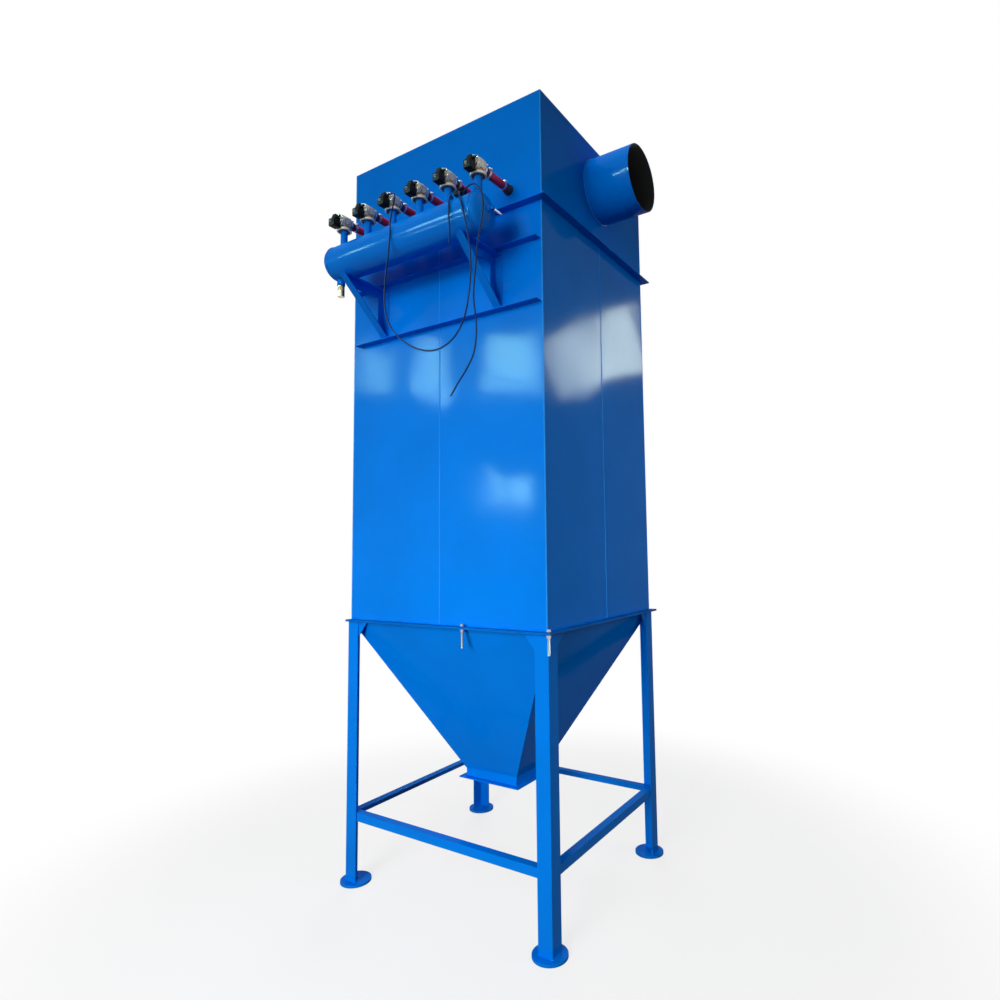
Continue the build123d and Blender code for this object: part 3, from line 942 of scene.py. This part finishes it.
def casingWelds():
    spec = casingSpec
    x, y, step = spec["halfX"], spec["halfY"], weldSpec["step"]
    base, sheet, box, roof = spec["base"], spec["tubesheet"], spec["boxBase"], spec["roof"] - 0.002
    seams = []
    for side in (-1, 1):
        seams.append(upright(spec["frontSeam"], side * y, base, sheet, weldSpec["groundStep"]))
        seams.append(upright(side * x, spec["sideSeam"], base, sheet, weldSpec["groundStep"]))
    mesh = bmesh.new()
    for seed, run in enumerate(seams):
        tube(mesh, run, weldSpec["bead"], steps=8, wobble=weldSpec["groundRipple"], seed=seed)
    for sideX in (-1, 1):
        for sideY in (-1, 1):
            inX, inY = sideX * (x - spec["cornerInset"]), sideY * (y - spec["cornerInset"])
            for low, high in ((base, sheet), (box, roof)):
                corner = upright(inX, inY, low, high, weldSpec["cornerStep"])
                tube(mesh, corner, weldSpec["cornerBead"], steps=12)
    # the seams and corners take the lightened enamel, a painted highlight along them
    meshPiece("sheetSeams", mesh, highlightedSeamEnamel, smoothAngle=70)

    runs = []
    for height in (base, sheet, box):
        for side in (-1, 1):
            runs += stitches((-x, side * y, height), (x, side * y, height))
            runs += stitches((side * x, -y, height), (side * x, y, height))
    makeWelds("flangeWelds", runs, weldSpec["thinBead"])

    lowX, lowY, neck = spec["neckX"], spec["neckY"], spec["neck"]
    edges = [between((sideX * x, sideY * y, spec["hopperTop"]), (sideX * lowX, sideY * lowY, neck), step)
             for sideX in (-1, 1) for sideY in (-1, 1)]
    corners = [(cornerX, cornerY, neck) for cornerX, cornerY in rectangle(2 * lowX, 2 * lowY)]
    edges += [between(corners[index], corners[(index + 1) % 4], step) for index in range(4)]
    makeWelds("hopperWelds", edges, weldSpec["thinBead"])


legSpec = {
    "heelX": 0.610,         # the outer corner of each leg
    "heelY": 0.530,
    "bar": 0.070,
    "plate": 0.006,
    "foot": 0.012,
    "brace": 0.342,
    "braceRuns": [((0.6035, 0.5235), (0.6035, 0.484)), ((0.604, 0.5235), (0.541, 0.5235))],
    "ribEdges": (2.996, 2.991, 2.712, 2.707),
    "ribStart": -0.55,
    "ribEnd": 0.59,
}


def frameWelds():
    spec = legSpec
    bar, plate, brace, step = spec["bar"], spec["plate"], spec["brace"], weldSpec["step"]
    outline = [(0, 0), (bar, 0), (bar, plate), (plate, plate), (plate, bar), (0, bar)]
    runs = []
    for sideX in (-1, 1):
        for sideY in (-1, 1):
            corners = [(sideX * (spec["heelX"] - inX), sideY * (spec["heelY"] - inY), spec["foot"])
                       for inX, inY in outline]
            runs += [between(corners[index], corners[(index + 1) % 6], step) for index in range(6)]
            for (startX, startY), (endX, endY) in spec["braceRuns"]:
                start = (sideX * startX, sideY * startY, brace)
                end = (sideX * endX, sideY * endY, brace)
                runs.append(between(start, end, step))
    front = -casingSpec["halfY"]
    for height in spec["ribEdges"]:
        runs += stitches((spec["ribStart"], front, height), (spec["ribEnd"], front, height))
    makeWelds("frameWelds", runs)


def saddle(x, radius, side, count=40):
    # where an upright pipe of this radius meets the tank, above or below its axis
    _, y, z = tankSpec["centre"]
    ring = []
    for step in range(count):
        angle = 2 * math.pi * step / count
        away = radius * math.sin(angle)
        height = math.sqrt(tankSpec["radius"] ** 2 - away ** 2)
        ring.append(Vector((x + radius * math.cos(angle), y + away, z + side * height)))
    return ring


def tankWelds():
    spec = tankSpec
    x, y, z = spec["centre"]
    left, right = x - spec["barrelEnd"], x + spec["barrelEnd"]
    rings = [circlePoints((end, y, z), sideways, spec["radius"], count=110) for end in (left, right)]
    makeWelds("headWelds", rings, weldSpec["thinBead"], closed=True)
    rings = [saddle(place[0], spec["riser"], 1) for place in valveSpec["places"]]
    rings.append(saddle(spec["drainX"], spec["socket"], -1))
    makeWelds("socketWelds", rings, weldSpec["socketBead"], closed=True)
    seamY, seamZ = y + spec["seam"], z - spec["seam"]
    seam = between((left, seamY, seamZ), (right, seamY, seamZ), weldSpec["step"])
    makeWelds("tankSeam", [seam], weldSpec["thinBead"])


casingWelds()
frameWelds()
tankWelds()
print("welds made")


# A black lining inside the outlet duct, painted shade that darkens its bore, and the weld round it where it
# meets the wall
ductSpec = {
    "centre": (0.03, 3.466),
    "radius": 0.161,
    "wall": 0.003,
    "start": 0.600,
    "end": 0.840,
    "coatStart": 0.597,
    "coat": 0.0012,
    "coatGap": 0.0001,
    "bareEdge": 0.0015,
}


def makeDuctTrim():
    spec = ductSpec
    y, z = spec["centre"]
    bore = spec["radius"] - spec["wall"]
    inner, outer = bore - spec["coat"], bore - spec["coatGap"]
    length = spec["end"] - spec["bareEdge"] - spec["coatStart"]
    # the lining is painted shade inside the bore
    mesh = bmesh.new()
    closedLathe(mesh, [(inner, 0), (outer, 0), (outer, length), (inner, length)],
                (spec["coatStart"], y, z), sideways, steps=128)
    meshPiece("ductShadeLining", mesh, paintedShadeLining)
    ring = circlePoints((spec["start"], y, z), sideways, spec["radius"], count=200)
    # the weld round the duct takes the lightened enamel, a painted highlight on it
    makeWelds("ductWeld", [ring], weldSpec["ductBead"], closed=True, material=highlightedSeamEnamel)


makeDuctTrim()


# Floor, background and studio light. The plain lamps light the paint, and the tinted ones only
# show in it as soft patches, as a window's light does after the blue paint has coloured it
studio = {
    "floorSize": 20,             # m, half the floor's width
    "floorColour": "F4F4F2",
    "floorBounce": "5A5A58",     # what the floor gives back to the object's underside
    "floorWhite": 1.0,
    "floorShade": 0.25,          # how much of the object's shadow shows on the floor
    "whiteRadius": (1.5, 2.8),   # m, the floor fades to plain white between these
    "ambient": 0.16,
    "lamps": [
        # name, place, aimed at, size, power, spread in degrees
        ("doorway", (0.8, -6.2, 2.0), (0.0, -0.5, 0.95), (2.2, 1.2), 19.5, 50),
        ("windowLeft", (-0.8, -6.8, 4.4), (0.0, -0.3, 2.6), (2.5, 1.6), 90, 180),
        ("windowRight", (0.7, -6.8, 3.6), (0.0, -0.3, 2.6), (2.5, 1.2), 102, 180),
        ("rightFill", (4.6, 1.2, 3.0), (0.6, 0.0, 1.5), (2.5, 2.0), 8.5, 70),
        ("roofLight", (0.0, -0.3, 7.2), (0.0, -0.3, 3.7), (1.4, 0.9), 11, 60),
        ("backFill", (-3.6, 4.8, 3.0), (-0.3, 0.3, 1.9), (3.5, 3.0), 70, 120),
    ],
    "frontTint": "AAFFF3",
    "sideTint": "E4F9EC",
    "reflectionSpread": 120,
    "reflections": [
        # name, place, aimed at, size, power, roll in degrees, tint
        ("patchLeft", (-3.30, -3.07, 3.64), (-0.3, -0.5, 2.6), (0.36, 0.50), 8.8, 0, "frontTint"),
        ("patchMiddle", (-2.69, -3.33, 3.62), (0.0, -0.5, 2.6), (0.20, 0.65), 11.6, 0, "frontTint"),
        ("patchRight", (-1.77, -3.59, 3.60), (0.35, -0.5, 2.6), (0.62, 0.66), 36, 0, "frontTint"),
        ("patchLowLeft", (-2.11, -3.67, 2.27), (0.4, -0.5, 1.9), (0.14, 0.38), 5.4, 0, "frontTint"),
        ("patchLowRight", (-1.80, -3.77, 2.25), (0.4, -0.5, 1.9), (0.27, 0.34), 9.5, 0, "frontTint"),
        ("patchSideNear", (2.50, 3.08, 3.68), (0.6, -0.3, 2.8), (0.55, 0.70), 20.5, 24, "sideTint"),
        ("patchSideFar", (2.25, 3.67, 3.99), (0.6, 0.2, 2.8), (0.45, 0.75), 17.7, 12, "sideTint"),
        ("ductStrip", (-0.40, -2.88, 3.62), (0.72, -0.12, 3.55), (0.045, 1.30), 24, -21, "frontTint"),
    ],
}


def makeLamp(name, spot, target, size, power, spread, roll=0):
    light = bpy.data.lights.new(name, "AREA")
    light.shape = "RECTANGLE"
    light.size, light.size_y = size
    light.energy = power
    light.spread = math.radians(spread)
    lamp = bpy.data.objects.new(name, light)
    aim = (Vector(target) - Vector(spot)).to_track_quat("-Z", "Y").to_matrix().to_4x4()
    lamp.matrix_world = Matrix.Translation(spot) @ aim @ Matrix.Rotation(math.radians(roll), 4, "Z")
    lamp.visible_camera = False
    bpy.context.scene.collection.objects.link(lamp)
    return lamp


def seenRays(tree):
    # 1 for the rays that show a surface, straight or in a reflection, and 0 for those that light one
    rays = addNode(tree, "LightPath").outputs
    seen = addNode(tree, "Math", {0: rays["Is Camera Ray"], 1: rays["Is Glossy Ray"]}, operation="MAXIMUM")
    clear = {0: seen.outputs[0], 1: rays["Is Transmission Ray"]}
    return addNode(tree, "Math", clear, operation="MAXIMUM").outputs[0]


def makeWorld():
    world = bpy.data.worlds.new("white studio")
    bpy.context.scene.world = world
    world.use_nodes = True
    tree = world.node_tree
    tree.nodes.clear()
    level = addNode(tree, "MapRange", {"Value": seenRays(tree), "To Min": studio["ambient"], "To Max": 1.0})
    glow = addNode(tree, "Background", {"Color": (1, 1, 1, 1), "Strength": level.outputs["Result"]})
    addNode(tree, "OutputWorld", {"Surface": glow.outputs["Background"]})


def floorMaterial():
    material = bpy.data.materials.new("white floor")
    material.use_nodes = True
    tree = material.node_tree
    tree.nodes.clear()
    seen = seenRays(tree)
    place = addNode(tree, "TexCoord").outputs["Object"]
    far = addNode(tree, "VectorMath", {0: place}, operation="LENGTH")
    near, wide = studio["whiteRadius"]
    fade = addNode(tree, "MapRange", {"Value": far.outputs["Value"], "From Min": near, "From Max": wide,
                                      "To Min": 1.0 - studio["floorShade"], "To Max": 1.0},
                   interpolation_type="SMOOTHSTEP")
    shown = addNode(tree, "Math", {0: fade.outputs["Result"], 1: seen}, operation="MULTIPLY")
    tone = addNode(tree, "Mix", {"Factor": seen}, data_type="RGBA")
    tone.inputs["A"].default_value = linear(studio["floorBounce"])
    tone.inputs["B"].default_value = linear(studio["floorColour"])
    plain = addNode(tree, "BsdfDiffuse", {"Color": tone.outputs["Result"]})
    white = addNode(tree, "Emission", {"Color": (1, 1, 1, 1), "Strength": studio["floorWhite"]})
    both = addNode(tree, "MixShader", {0: shown.outputs[0], 1: plain.outputs["BSDF"],
                                       2: white.outputs["Emission"]})
    addNode(tree, "OutputMaterial", {"Surface": both.outputs["Shader"]})
    return material


def makeFloor():
    mesh = bmesh.new()
    bmesh.ops.create_grid(mesh, x_segments=8, y_segments=8, size=studio["floorSize"])
    data = bpy.data.meshes.new("floor")
    mesh.to_mesh(data)
    mesh.free()
    floor = bpy.data.objects.new("floor", data)
    bpy.context.scene.collection.objects.link(floor)
    paint(floor, floorMaterial())


def makeLights():
    for name, spot, target, size, power, spread in studio["lamps"]:
        lamp = makeLamp(name, spot, target, size, power, spread)
        lamp.visible_glossy = False
    for name, spot, target, size, power, roll, tint in studio["reflections"]:
        lamp = makeLamp(name, spot, target, size, power, studio["reflectionSpread"], roll)
        lamp.data.color = linear(studio[tint])[:3]
        lamp.visible_diffuse = False


makeWorld()
makeFloor()
makeLights()
bpy.context.scene.view_settings.view_transform = "Standard"
print("studio lit")
